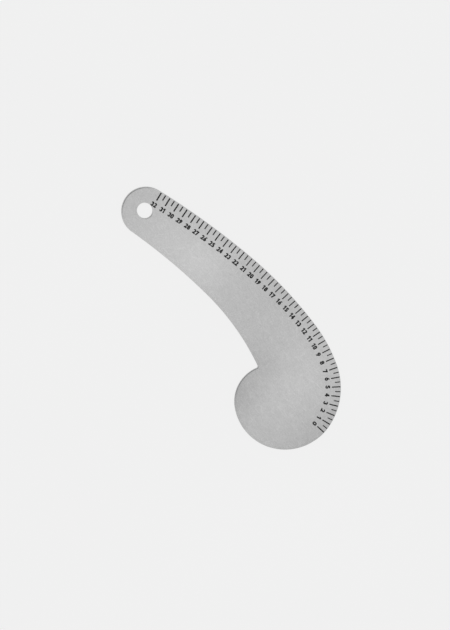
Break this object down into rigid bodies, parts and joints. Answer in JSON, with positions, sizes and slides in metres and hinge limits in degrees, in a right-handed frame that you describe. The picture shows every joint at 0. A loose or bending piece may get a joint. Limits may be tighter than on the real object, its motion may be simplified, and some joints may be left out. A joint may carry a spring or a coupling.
{
  "type": "pattern curve ruler",
  "caption": "Flat aluminium French curve for drafting clothing patterns, with a centimetre scale along its convex edge and a hole to hang it by.",
  "frame": {"origin": "on the axis of the hanging hole, at the sheet's back face", "axes": "+Z out of the printed front face, +X from the tip to the round end, +Y towards the graduated edge"},
  "size_m": [0.3074, 0.1193, 0.0016],
  "materials": {
    "sheet": "satin, finely mottled, with lightly broken edges",
    "ink": "matt black printed ink"
  },
  "bodies": {
    "root": {"blade": "sheet", "centimetre_marks": "ink", "half_centimetre_marks": "ink", "number_0": "ink", "number_1": "ink", "number_2": "ink", "number_3": "ink", "number_4": "ink", "number_5": "ink", "number_6": "ink", "number_7": "ink", "number_8": "ink", "number_9": "ink", "number_10": "ink", "number_11": "ink", "number_12": "ink", "number_13": "ink", "number_14": "ink", "number_15": "ink", "number_16": "ink", "number_17": "ink", "number_18": "ink", "number_19": "ink", "number_20": "ink", "number_21": "ink", "number_22": "ink", "number_23": "ink", "number_24": "ink", "number_25": "ink", "number_26": "ink", "number_27": "ink", "number_28": "ink", "number_29": "ink", "number_30": "ink", "number_31": "ink", "number_32": "ink"}
  },
  "joints": []
}
